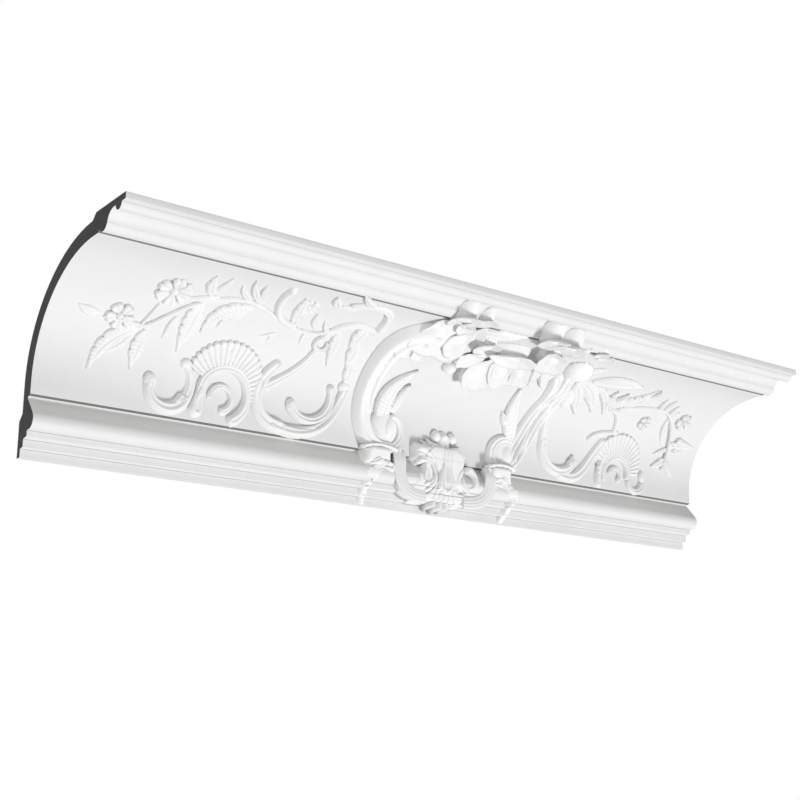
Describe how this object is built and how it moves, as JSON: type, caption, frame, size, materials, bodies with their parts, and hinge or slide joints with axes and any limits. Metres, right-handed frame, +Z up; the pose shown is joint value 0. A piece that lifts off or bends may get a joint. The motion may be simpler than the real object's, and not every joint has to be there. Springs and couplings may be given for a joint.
{
  "type": "cornice moulding",
  "caption": "Length of white cove cornice with stepped and rounded members, a relief of scrolls, shells and flower sprays, and a raised rococo cartouche; cut square at both ends",
  "frame": {"origin": "middle of the flat strip that lies on the wall: half way along the length and half way up the strip, on the wall plane", "axes": "+X along the length to the right as seen from the room, +Y into the wall, +Z up to the ceiling; the carved face looks to -Y and down"},
  "size_m": [1, 0.225, 0.2192],
  "materials": {
    "primed_white": "matte"
  },
  "bodies": {
    "root": {"cornice_moulding": "primed_white"}
  },
  "joints": []
}
